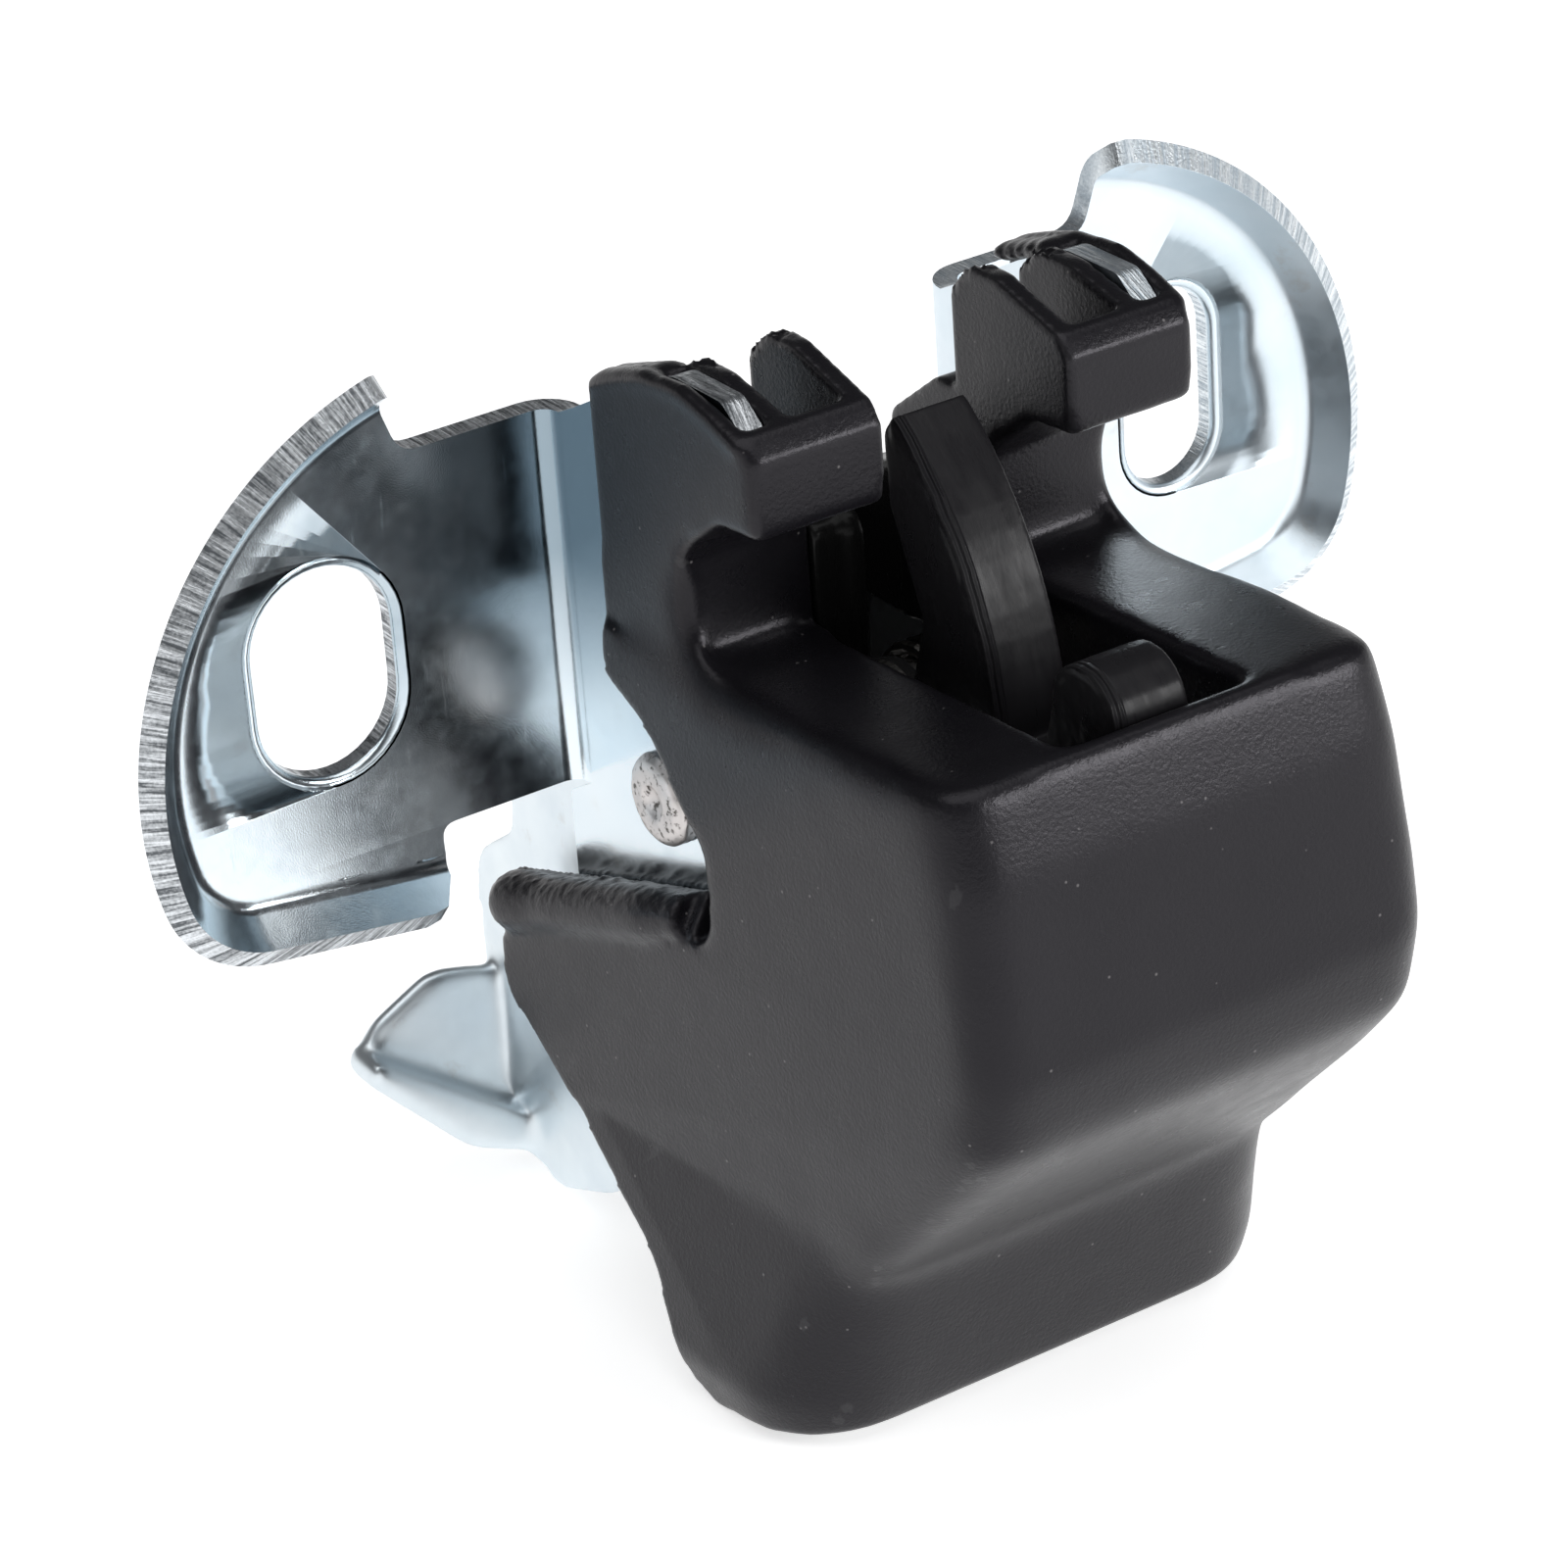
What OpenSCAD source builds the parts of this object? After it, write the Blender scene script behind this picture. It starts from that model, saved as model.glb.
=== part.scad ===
// Tailgate latch with two bolt-on ears, a rotary claw and a moulded shroud.
// Frame: X across the latch, +Y into the body panel, +Z up.
// The origin lies midway between the two bolt slots, on the front faces of the ears.

/* [Ears] */
// Distance between the centres of the two bolt slots
slot_spacing = 80; // [76:1:84]
// Width of the wide slot in the left ear
left_slot_w = 12.2; // [10:0.1:13]
// Width of the locating slot in the right ear
right_slot_w = 8.8; // [7.5:0.1:11]
// Height of both slots
slot_h = 17.4; // [14:0.2:18]
// Radius of the big round of an ear, at its crease
ear_r = 26.2; // [24:0.2:27]
// Radius of the lower outer corner of an ear
ear_corner_r = 5; // [4:0.5:7]
// Thickness of the side plates
plate_t = 2; // [1.6:0.1:2.4]
// Straight length of the raised rim past its bend
rim_len = 3.2; // [2:0.1:4]
// Angle that the rim is bent forward
rim_angle = 55; // [45:1:65]
// Inner radius of the bends in the side plates
bend_r = 1.6; // [1:0.1:2]
// Half the height of the strap that joins an ear to its web
strap_half_h = 16; // [15:0.5:17]

/* [Webs] */
// Distance from the middle plane to the outer face of a web
web_outer = 18.8; // [18.6:0.1:19]
// Front edge of the lower prong of a web
web_front = -47; // [-48:0.5:-44]
// Height of the top edge of the steel horns
horn_top = 24; // [23:0.5:24.5]
// Front end of the steel horns
horn_front = -28.2; // [-28.4:0.1:-26]

/* [Striker throat] */
// Height of the throat at its mouth
throat_h = 11.8; // [11:0.1:13]
// Top of the shroud's nose at the well's front edge
nose_top = 3.6; // [3:0.1:4]
// Fall of the nose's top from front to back
top_fall = 2; // [1:0.1:2.4]
// Back end of the throat
throat_end = -19.7; // [-21:0.1:-19]

/* [Shroud] */
// Wall thickness of the shroud
wall = 1.8; // [1.6:0.1:1.9]
// Half width of the nose at its front
nose_half_w = 20.5; // [20.4:0.1:21.5]
// Widening of one side of the nose for each mm further back
side_flare = 0.046; // [0.03:0.002:0.06]
// Furthest forward point of the nose
nose_front = -57.8; // [-59:0.1:-57]
// Radius of the nose's upright front edges
nose_edge_r = 4; // [3:0.5:6]
// Half width of the flared lip at the bottom
lip_half_w = 24.4; // [23.4:0.2:26]
// Lowest level of the lip
lip_bottom = -63.2; // [-66:0.2:-62]
// Half width of the well that the claw stands in
well_half_w = 8.2; // [7.8:0.1:8.2]
// Outer face of a horn cap, from the middle plane
cap_outer = 20.1; // [20:0.1:20.4]
// Thickness of the fins in a horn cap
fin_t = 1.8; // [1.2:0.1:2]
// Front face of the horn caps
cap_front = -30.8; // [-31.5:0.1:-30.6]

/* [Claw] */
// Distance of the claw's pivot in front of the ears
claw_y = -34; // [-34.5:0.1:-33.5]
// Height of the claw's pivot
claw_z = -16; // [-16.5:0.1:-15.5]
// Radius of the claw's pin where the claw turns
claw_pin_r = 4; // [3.5:0.1:4.5]
// Thickness of the claw's steel plate
claw_plate_t = 4; // [3:0.2:5]
// Thickness of the moulded cover on one side of the claw's plate
claw_cover_t = 1.5; // [1:0.1:2]
// Radius of the claw's rim that the pawl rides on
rim_r = 15; // [14.6:0.1:15]
// Depth of the claw's latching notch below the rim
notch_depth = 3; // [2:0.1:3.4]
// Turn of the claw from open to closed, in degrees
claw_travel = 35; // [30:1:36]

/* [Pawl and lever] */
// Distance of the pawl's pivot in front of the ears
pawl_y = -14.2; // [-14.4:0.1:-13.8]
// Height of the pawl's pivot
pawl_z = -12; // [-12.4:0.1:-11.6]
// Radius of the pawl's pin
pawl_pin_r = 2.5; // [2:0.1:2.8]
// Radius of the riveted heads of the pawl's pin
rivet_head_r = 3.8; // [3.4:0.1:4]
// Height of the riveted heads
rivet_head_h = 2; // [1.4:0.1:2.2]
// Thickness of the pawl's steel plate
pawl_plate_t = 4; // [3:0.2:5]
// Thickness of the release lever
lever_t = 2; // [1.6:0.1:2.2]
// Reach of the lever's tab beyond its cheek
tab_reach = 14; // [12:0.5:15]

/* [Springs, pins and fits] */
// Wire thickness of the claw's spring
claw_wire_d = 1.6; // [1.2:0.1:1.8]
// Wire thickness of the pawl's and the lever's springs
small_wire_d = 1.1; // [0.8:0.1:1.3]
// Radius of the stop pin
stop_pin_r = 2.4; // [2:0.1:2.6]
// Outer radius of the rubber sleeve on the stop pin
stop_sleeve_r = 4; // [3.6:0.1:4.2]
// Radial clearance of parts that turn on a pin
run_fit = 0.05; // [0.03:0.01:0.08]
// Gap between parts that move past each other
side_gap = 0.3; // [0.2:0.05:0.35]
// Gap between fixed parts that seat on each other
seat_gap = 0.05; // [0.02:0.01:0.08]

/* [Hidden] */
$fn = 64;
eps = 0.01;

steel_blue = [0.78, 0.83, 0.86];
bare_steel = [0.55, 0.55, 0.55];
spring_steel = [0.30, 0.29, 0.28];
black_matt = [0.10, 0.10, 0.11];
black_gloss = [0.04, 0.04, 0.05];
rubber_black = [0.07, 0.07, 0.07];

web_inner = web_outer - plate_t;
slot_x = slot_spacing / 2;

// Planes: a 2-D outline is drawn in (y, z) and thickened along +X from x0,
// or drawn in (x, z) and thickened along +Y from y0.
module in_yz(x0, t) { translate([x0, 0, 0]) rotate([90, 0, 90]) linear_extrude(t) children(); }
module in_xz(y0, t) { translate([0, y0 + t, 0]) rotate([90, 0, 0]) linear_extrude(t) children(); }
// A round bar along X at (y, z)
module bar(y, z, r, x0, x1) { translate([x0, y, z]) rotate([0, 90, 0]) cylinder(r = r, h = x1 - x0); }

function unit(v) = v / norm(v);
function polar(c, r, a) = c + r * [cos(a), sin(a)];
function arc(c, r, a0, a1, n) = [for (i = [0 : n]) polar(c, r, a0 + (a1 - a0) * i / n)];
// Corner points of an outline, each with its own radius: [[u, v, r], ...]
function corner_arc(a, b, c, r, n) =
    let(p = [a[0], a[1]], q = [b[0], b[1]], s = [c[0], c[1]],
        d1 = unit(p - q), d2 = unit(s - q),
        half = acos(max(-1, min(1, d1 * d2))) / 2,
        reach = min(r / tan(half), 0.49 * norm(p - q), 0.49 * norm(s - q)),
        rr = reach * tan(half), mid = unit(d1 + d2),
        centre = q + mid * rr / sin(half),
        t1 = q + d1 * reach - centre, t2 = q + d2 * reach - centre,
        a1 = atan2(t1[1], t1[0]), a2 = atan2(t2[1], t2[0]),
        turn = (a2 - a1 + 540) % 360 - 180)
    [for (i = [0 : n]) centre + rr * [cos(a1 + turn * i / n), sin(a1 + turn * i / n)]];
function rounded(pts, n = 5) =
    let(m = len(pts))
    [for (i = [0 : m - 1])
        for (p = pts[i][2] > 0
                 ? corner_arc(pts[(i + m - 1) % m], pts[i], pts[(i + 1) % m], pts[i][2], n)
                 : [[pts[i][0], pts[i][1]]]) p];

// Ear: its crease follows a big arc, a small corner arc and a slanting bottom edge.
ear_cx = slot_x - 13;
ear_cz = -6;
ear_top_angle = 76.5;
ear_corner_angle = -15;
ear_bottom_angle = -82.5;
ear_rim_end = 32.3;
corner_c = [ear_cx, ear_cz] + (ear_r - ear_corner_r) * [cos(ear_corner_angle), sin(ear_corner_angle)];
bottom_start = corner_c + ear_corner_r * [cos(ear_bottom_angle), sin(ear_bottom_angle)];
bottom_len = (bottom_start[0] - ear_rim_end) / cos(90 + ear_bottom_angle);
notch_r = 2.5;

rim_lap = 0.5;
rim_start = 0.4;
rim_hair = 0.03;

// The flat of an ear ends inside the flat root of its rim
module ear_outline() {
    lap = rim_lap / 2;
    bottom_end = bottom_start - bottom_len * [cos(90 + ear_bottom_angle), sin(90 + ear_bottom_angle)];
    polygon(concat(
        arc([ear_cx, ear_cz], ear_r - lap, ear_top_angle, ear_corner_angle, 24),
        arc(corner_c, ear_corner_r - lap, ear_corner_angle, ear_bottom_angle, 8),
        [bottom_end - lap * [cos(ear_bottom_angle), sin(ear_bottom_angle)],
         [ear_rim_end - notch_r, -strap_half_h], [web_outer + bend_r, -strap_half_h],
         [web_outer + bend_r, strap_half_h], [ear_rim_end - notch_r, strap_half_h]]));
}

module slot_hole(w) {
    straight = (slot_h - w) / 2;
    for (s = [-1, 1]) translate([slot_x, s * straight]) circle(d = w);
    translate([slot_x - w / 2, -straight]) square([w, 2 * straight]);
}

// Section of the raised rim in (radius, forward) about the crease, drawn in all round by "in"
module rim_section(r, in = 0) {
    inner = bend_r + in;
    outer = bend_r + plate_t - in;
    inner_bend = [for (i = [1 : 6]) [r, -bend_r] + inner * [sin(rim_angle * i / 6), cos(rim_angle * i / 6)]];
    outer_bend = [for (i = [6 : -1 : 1]) [r, -bend_r] + outer * [sin(rim_angle * i / 6), cos(rim_angle * i / 6)]];
    run = (rim_len - in) * [cos(rim_angle), -sin(rim_angle)];
    root = r - rim_lap + in;
    polygon(concat([[root, in], [r, in]], inner_bend, [inner_bend[5] + run, outer_bend[0] + run], outer_bend,
        [[r, plate_t - in], [root, plate_t - in]]));
}

module rim_round(c, r, a0, a1) {
    translate([c[0], 0, c[1]]) rotate([90, 0, 0]) rotate([0, 0, a1])
        mirror([0, 0, 1]) rotate_extrude(angle = a0 - a1, $fn = 96) rim_section(r);
}

module ear_rim() {
    rim_round([ear_cx, ear_cz], ear_r, ear_top_angle, ear_corner_angle);
    rim_round(corner_c, ear_corner_r, ear_corner_angle, ear_bottom_angle);
    // The straight rim starts inside the corner's and lies a hair within its faces
    translate([bottom_start[0], 0, bottom_start[1]]) rotate([0, -(90 + ear_bottom_angle), 0])
        rotate([0, -90, 0]) translate([0, 0, -rim_start]) linear_extrude(bottom_len + rim_start)
            rotate([0, 0, 180]) mirror([0, 1, 0]) rim_section(0, rim_hair);
}

// Bend between the ear's strap and the web
module strap_bend() {
    translate([web_outer + bend_r, -bend_r, -strap_half_h]) rotate([0, 0, 90])
        rotate_extrude(angle = 90) translate([bend_r, 0]) square([plate_t, 2 * strap_half_h]);
}

// Levels of the throat: its floor falls from the mouth to the back end
floor_slope = top_fall / 27;
function floor_at(y) = nose_top - (y + 51) * floor_slope;
throat_back_top = 12.2;
cap_under = floor_at(cap_front) - 1.2 + throat_h;
cap_floor_t = 1.3;

web_neck = throat_end + wall + 0.8;

module web_outline() {
    polygon(rounded([
        [-bend_r, -strap_half_h, 0], [1.8, -strap_half_h - 2, 1], [1.8, -28, 4],
        [-12, -37.5, 7], [-32, -37.5, 7], [web_front, -24, 6],
        [web_front, floor_at(web_front) - wall - 0.8, 4], [-27, floor_at(-27) - wall - side_gap, 0],
        [web_neck, floor_at(throat_end) - wall - side_gap, 0.7],
        [web_neck, throat_back_top + cap_floor_t + 0.3, 0.7],
        [-21.4, throat_back_top + cap_floor_t + 0.3, 0], [horn_front, cap_under + cap_floor_t - 0.2, 1.5],
        [horn_front, horn_top - 2.2, 1.2], [-25.5, horn_top, 1.5], [-13, horn_top, 3],
        [-4, strap_half_h + 1.2, 4], [-bend_r, strap_half_h, 0]]));
}

module side_plate(slot_w) {
    color(steel_blue) {
        in_xz(0, plate_t) difference() {
            ear_outline();
            slot_hole(slot_w);
        }
        ear_rim();
        strap_bend();
        difference() {
            in_yz(web_inner, plate_t) web_outline();
            bar(claw_y, claw_z, claw_end_r + seat_gap, web_inner - 1, web_outer + 1);
            bar(pawl_y, pawl_z, pawl_pin_r + seat_gap, web_inner - 1, web_outer + 1);
            bar(stop_y, stop_z, stop_end_r + seat_gap, web_inner - 1, web_outer + 1);
        }
    }
}

module left_side_plate() { mirror([1, 0, 0]) side_plate(left_slot_w); }
module right_side_plate() { side_plate(right_slot_w); }

// Plate welded between the webs behind the claw; its left arm passes above the release lever
cross_y = -3.9;
cross_z0 = -15;
cross_z1 = -1;
cross_arm_z = -4.5;

module cross_plate() {
    reach = web_inner - seat_gap;
    lever_side = lever_x + lever_t + side_gap;
    color(steel_blue) {
        translate([lever_side, cross_y, cross_z0])
            cube([reach - lever_side, plate_t, cross_z1 - cross_z0]);
        translate([-reach, cross_y, cross_arm_z]) cube([2 * reach, plate_t, cross_z1 - cross_arm_z]);
    }
}

// Shroud: a hollow nose, a flared skirt below it and a pair of horns above the throat.
function half_at(y) = nose_half_w + (y + 57) * side_flare;
nose_back = 9;

slice_h = 0.4;
module slice(z, y0, y1, r0, r1, half0, half1) {
    for (s = [-1, 1]) {
        translate([s * (half0 - r0), y0 + r0, z]) cylinder(r = r0, h = slice_h, $fn = 32);
        translate([s * (half1 - r1), y1 - r1, z]) cylinder(r = r1, h = slice_h, $fn = 32);
    }
}

// The nose is hulled from level slices; "in" draws them in by a wall thickness
module nose_form(in) {
    r = nose_edge_r - in / 2;
    flank = half_at(nose_back) - in;
    hull() {
        slice(6 - in, -52.2 + in, nose_back, r, 1, nose_half_w - 0.2 - in, cap_outer - in);
        slice(nose_top - in, -53.4 + in, nose_back, r, 1, nose_half_w - in, cap_outer + 0.1 - in);
        slice(-4, -56 + in, nose_back, r, 1, nose_half_w + 0.1 - in, cap_outer + 0.4 - in);
        slice(-13, nose_front + 0.3 + in, nose_back, r, 1, nose_half_w + 0.3 - in, flank - 1.7);
        slice(-19, nose_front - 0.3 + in, nose_back, r, 1, nose_half_w + 0.5 - in, flank - 0.6);
        slice(-25.5, -56.8 + in, nose_back, r, 1, nose_half_w + 0.6 - in, flank);
        slice(-31, -52.2 + in, nose_back, r, 1, half_at(-52) - in, flank);
        slice(-46 - in / 3, -37.4 + in, nose_back, r, 1, half_at(-50) - in, flank);
    }
}

module skirt_form(in, drop) {
    back = nose_back + 0.6;
    curl = lip_bottom + 5;
    hull() {
        slice(-33, -42 + in, back, 3, 1, nose_half_w - 1.3 - in, half_at(nose_back) - 1.7 - in);
        slice(-50, -36.6 + in, back, 8 - in, 1, lip_half_w - 1.8 - in, half_at(nose_back) - in);
        slice(curl, -34.6 + in, back, 9 - in, 1, lip_half_w - in, lip_half_w - in);
        slice(lip_bottom - drop, -33 + in, back, 8 - in, 1, lip_half_w - 1.2 - in, lip_half_w - 0.4 - in);
    }
}

// Side view of the lower shroud: throat floor, cut-out round the rivet, shelf, rear edge and lip
module lower_side_view() {
    polygon(rounded([
        [-60, floor_at(-60), 0], [-25, floor_at(-25), 2], [throat_end, floor_at(-21), 0],
        [-8.6, floor_at(-21), 0], [-8.6, -2.4, 2.5], [-15.5, -5.2, 6], [-22.6, -12, 5], [-23, -20.4, 3.2],
        [-14, -23.6, 5], [7.6, -31.4, 2], [7.2, -36.8, 4], [-6.5, -47.5, 8], [-13.5, -52.5, 6],
        [-18.6, lip_bottom, 6], [-40, lip_bottom + 2.5, 0], [-62, -46, 0]], 6));
}

// Bead that turns in from the flank's upper edge to the web
module shelf_bead() {
    flank = half_at(-20);
    translate([0, -20.4, -20.2]) rotate([-19.2, 0, 0]) in_xz(0, 32.6) polygon([
        [web_outer + 0.2, -1.4], [flank, -1.4], [flank - 0.3, -0.2], [web_outer + 0.9, 2.4],
        [web_outer + 0.2, 2.6]]);
}

// Walls of one horn, drawn on the +X side
module horn_side_view() {
    polygon(rounded([
        [-8.2, -2, 2], [-8, 20.6, 1.2], [-10, 22.6, 2], [-16.5, 25, 3], [-21.8, 25.4, 4],
        [-29.6, 23.4, 1.2], [cap_front, 21.8, 0.8], [cap_front, cap_under, 0.8],
        [-21.4, throat_back_top, 1],
        [throat_end, throat_back_top - 2, 1], [throat_end, floor_at(-22) + 2.4, 2.4],
        [-24.5, floor_at(-24.5), 3],
        [-24.5, -5, 0], [-18, -8, 2], [-15.5, -5, 4]]));
}

module fin_side_view(back, top) {
    polygon(rounded([
        [back, 14.2, 0], [back, top - 2.4, 0], [back - 2.8, top, 1.2], [-21.6, top + 0.2, 4],
        [-29.6, 23.4, 1], [cap_front, 21.8, 0.8], [cap_front, cap_under, 0.8],
        [-21.4, throat_back_top, 0],
        [-20, throat_back_top, 0]]));
}

cap_inner = well_half_w + 0.1;
claw_half_w = claw_plate_t / 2 + claw_cover_t;
steel_slot = web_inner - 0.1;

module horn() {
    difference() {
        in_yz(web_outer + seat_gap, cap_outer - web_outer - seat_gap) horn_side_view();
        translate([cap_outer, 0, 25.6]) rotate([0, 45, 0]) translate([-1.1, -40, -1.6]) cube([4, 30, 4]);
    }
    in_yz(cap_inner, fin_t) fin_side_view(-15.4, 25.4);
    in_yz(steel_slot - fin_t, fin_t) fin_side_view(-15, 24.8);
    // Front bar and floor of the cap
    in_yz(cap_inner, cap_outer - cap_inner - 0.3) polygon(rounded([
        [-28.4, cap_under + 0.2, 0], [-28.4, 23.7, 0], [-29.6, 23.4, 1], [cap_front, 21.8, 0.8],
        [cap_front, cap_under, 0.8]]));
    in_yz(cap_inner, cap_outer - cap_inner - 0.3) polygon([
        [cap_front + 0.4, cap_under], [cap_front + 0.4, cap_under + 1],
        [-28.4, cap_under - 0.7 + cap_floor_t],
        [-21.4, throat_back_top + cap_floor_t], [throat_end + wall, throat_back_top + cap_floor_t],
        [throat_end + wall, throat_back_top], [-21.4, throat_back_top]]);
    // Column behind the throat, open to the back
    in_yz(cap_inner, cap_outer - cap_inner - 0.3) polygon(rounded([
        [throat_end, floor_at(throat_end) - 1, 0], [throat_end, throat_back_top - 2, 1],
        [-21.4, throat_back_top, 0],
        [-20, throat_back_top + cap_floor_t, 0], [throat_end + wall, throat_back_top + cap_floor_t, 0],
        [throat_end + wall, floor_at(throat_end) - 1, 0]]));
    in_yz(cap_inner, web_inner - cap_inner - 0.1) polygon(rounded([
        [-20, throat_back_top, 0], [-20, throat_back_top + 2, 0], [-13, throat_back_top + 2.6, 3],
        [-6, 9.6, 3],
        [-6, 7.6, 0], [-13, throat_back_top + 0.6, 3]]));
    in_yz(cap_inner, wall) polygon(rounded([
        [throat_end, -6, 0], [throat_end, throat_back_top, 0], [-13, throat_back_top + 2.4, 3],
        [-6, 9.4, 3],
        [-6, 0, 1], [-18, -6, 0]]));
}

well_front = -51.6;
well_wall = 1.2;
well_depth = -7.4;

module shroud() {
    color(black_matt) {
        difference() {
            intersection() {
                union() {
                    nose_form(0);
                    skirt_form(0, 0);
                }
                in_yz(-30, 60) lower_side_view();
            }
            difference() {
                union() {
                    nose_form(wall);
                    skirt_form(wall, 2);
                    // Straight channel that the webs slide into
                    in_yz(-web_outer - seat_gap, 2 * (web_outer + seat_gap)) polygon([
                        [web_front - 0.5, 10], [web_front - 0.5, -24.5], [-33, -38.5], [20, -38.5],
                        [20, 10]]);
                }
                // The hollow stays below the top wall
                in_yz(-30, 60)
                    polygon([[-60, floor_at(-60) - wall], [0, floor_at(0) - wall], [0, 20], [-60, 20]]);
            }
            translate([-well_half_w, well_front, -12]) cube([2 * well_half_w, 70, 30]);
            // Slots that the steel horns stand in
            for (s = [0, 1]) mirror([s, 0, 0]) in_yz(web_inner - 0.1, plate_t + 0.1 + seat_gap)
                polygon([[throat_end + wall, -8], [20, -8], [20, 8], [throat_end + wall, 8]]);
        }
        // Inner walls of the well
        difference() {
            in_yz(-well_half_w - well_wall, 2 * (well_half_w + well_wall)) polygon([
                [well_front - well_wall, floor_at(well_front) - 1],
                [throat_end + 0.5, floor_at(throat_end) - 1],
                [throat_end + 0.5, well_depth], [well_front - well_wall, well_depth]]);
            translate([-well_half_w, well_front, -12]) cube([2 * well_half_w, 70, 30]);
        }
        for (s = [0, 1]) mirror([s, 0, 0]) {
            horn();
            shelf_bead();
        }
    }
}

// Buffer that takes the striker at the end of the throat
buffer_inner = claw_half_w + 0.7;
guide_t = 1.5;

module striker_buffer() {
    color(black_gloss) difference() {
        union() {
            for (s = [0, 1]) mirror([s, 0, 0]) {
                in_yz(buffer_inner, well_half_w - seat_gap - buffer_inner) polygon(rounded([
                    [throat_end - 0.2, -3.6, 1], [throat_end - 0.2, 9.4, 1.2], [-14, 9.4, 1],
                    [-0.9, 4, 1],
                    [-0.9, -4.6, 0], [-12, -4.6, 0]]));
                // Guide strip beside the claw
                in_yz(claw_half_w + side_gap, guide_t) polygon(rounded([
                    [throat_end - 0.8, -3.4, 1], [throat_end - 0.8, 10, 2], [-13, 9.2, 0],
                    [-13, -4.4, 0]]));
            }
            translate([-buffer_inner - eps, cross_y - 0.9, -7.8])
                cube([2 * (buffer_inner + eps), 3.9, 11.2]);
        }
        translate([-20, cross_y - seat_gap, -12])
            cube([40, plate_t + 2 * seat_gap, 12 + cross_z1 + seat_gap]);
    }
}

// Stop pin for the claw's heel
stop_y = claw_y + 8.4;
stop_z = claw_z - 17.6;
stop_end_r = stop_pin_r - 0.6;

// Claw: a steel fork plate in a moulded cover, drawn in the open position
claw_c = [claw_y, claw_z];
claw_end_r = claw_pin_r - 1;
arm_r = 31.6;
arm_c = [claw_y - 2.1 + arm_r, claw_z + 10];
tooth_angle = claw_travel - 30;
notch_r0 = rim_r - notch_depth;
lobe_c = claw_c + [-13.2, 18.4];
lobe_r = 4;
heel_h = 18;
heel_back = stop_y - stop_sleeve_r - side_gap;

module claw_outline(in) {
    polygon(concat(
        arc(arm_c, arm_r - in, 134, 178, 12),
        [claw_c + [-4.5, 11.5 - in], claw_c + [-7.4, 12.4 - in]],
        arc(lobe_c, lobe_r - in, -8, 178, 12),
        [claw_c + [-15 + in, 6], polar(claw_c, 13 - in, 180), polar(claw_c, 12.6 - in, 215),
         polar(claw_c, 12.6 - in, 245), polar(claw_c, 13.5 - in, 258), claw_c + [-2 + in, in - heel_h],
         [heel_back - in, claw_z + in - heel_h], [heel_back - in, claw_z - 15.3]],
        arc(claw_c, rim_r - in, 292, 360 + tooth_angle, 12),
        [polar(claw_c, notch_r0 - in, tooth_angle - 1)],
        arc(claw_c, notch_r0 - in, tooth_angle + 3, tooth_angle + 22, 4),
        [polar(claw_c, rim_r - in, 51), polar(claw_c, 20 - in, 69), claw_c + [10.8 - in, 27],
         claw_c + [11 - in, 33 - in / 2], claw_c + [9.8 - in, 34.6 - in]]));
}

// The steel shows at the tooth and rim, where the cover is left off
module cover_limit() {
    polygon([[claw_y - 40, claw_z + 60], [claw_y - 40, claw_z - 12], [claw_y - 11, claw_z - 12],
             [claw_y - 2, claw_z - 9], [claw_y + 8, claw_z - 4], [claw_y + 9, claw_z + 8],
             [claw_y + 30, claw_z + 20], [claw_y + 30, claw_z + 60]]);
}

module claw_plate() {
    color(steel_blue) difference() {
        in_yz(-claw_plate_t / 2, claw_plate_t) union() {
            intersection() {
                claw_outline(claw_cover_t);
                cover_limit();
            }
            difference() {
                claw_outline(0);
                cover_limit();
            }
        }
        bar(claw_y, claw_z, claw_pin_r + run_fit, -10, 10);
    }
}

module claw_cover() {
    color(black_gloss) difference() {
        in_yz(-claw_half_w, 2 * claw_half_w) intersection() {
            claw_outline(0);
            cover_limit();
        }
        in_yz(-claw_plate_t / 2, claw_plate_t) claw_outline(claw_cover_t);
        bar(claw_y, claw_z, claw_pin_r + 3, -10, 10);
    }
}

module claw_pin() {
    color(bare_steel) {
        bar(claw_y, claw_z, claw_pin_r, -web_inner + seat_gap, web_inner - seat_gap);
        bar(claw_y, claw_z, claw_end_r, -web_outer, web_outer);
    }
}

bush_r = claw_pin_r + 2;
module claw_bush() {
    difference() {
        bar(claw_y, claw_z, bush_r, claw_plate_t / 2 + side_gap, web_inner - seat_gap);
        bar(claw_y, claw_z, claw_pin_r + seat_gap, 0, web_outer);
    }
}
module left_claw_bush() { color(bare_steel) mirror([1, 0, 0]) claw_bush(); }
module right_claw_bush() { color(bare_steel) claw_bush(); }

// Tube swept along a line of points by a polygon of n sides
function ring(p, t, r, n) =
    let(w = unit(t), u0 = abs(w[0]) < 0.9 ? [1, 0, 0] : [0, 1, 0],
        u = unit(cross(w, u0)), v = cross(w, u))
    [for (k = [0 : n - 1]) p + r * (cos(360 * k / n) * u + sin(360 * k / n) * v)];
module wire(pts, d, n = 8) {
    m = len(pts);
    way = [for (i = [0 : m - 1]) pts[min(i + 1, m - 1)] - pts[max(i - 1, 0)]];
    rings = [for (i = [0 : m - 1]) for (q = ring(pts[i], way[i], d / 2, n)) q];
    sides = [for (i = [0 : m - 2]) for (k = [0 : n - 1])
        [i * n + k, (i + 1) * n + k, (i + 1) * n + (k + 1) % n, i * n + (k + 1) % n]];
    start = [for (k = [0 : n - 1]) k];
    end = [for (k = [n - 1 : -1 : 0]) (m - 1) * n + k];
    polyhedron(rings, concat([start], sides, [end]));
}
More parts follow.
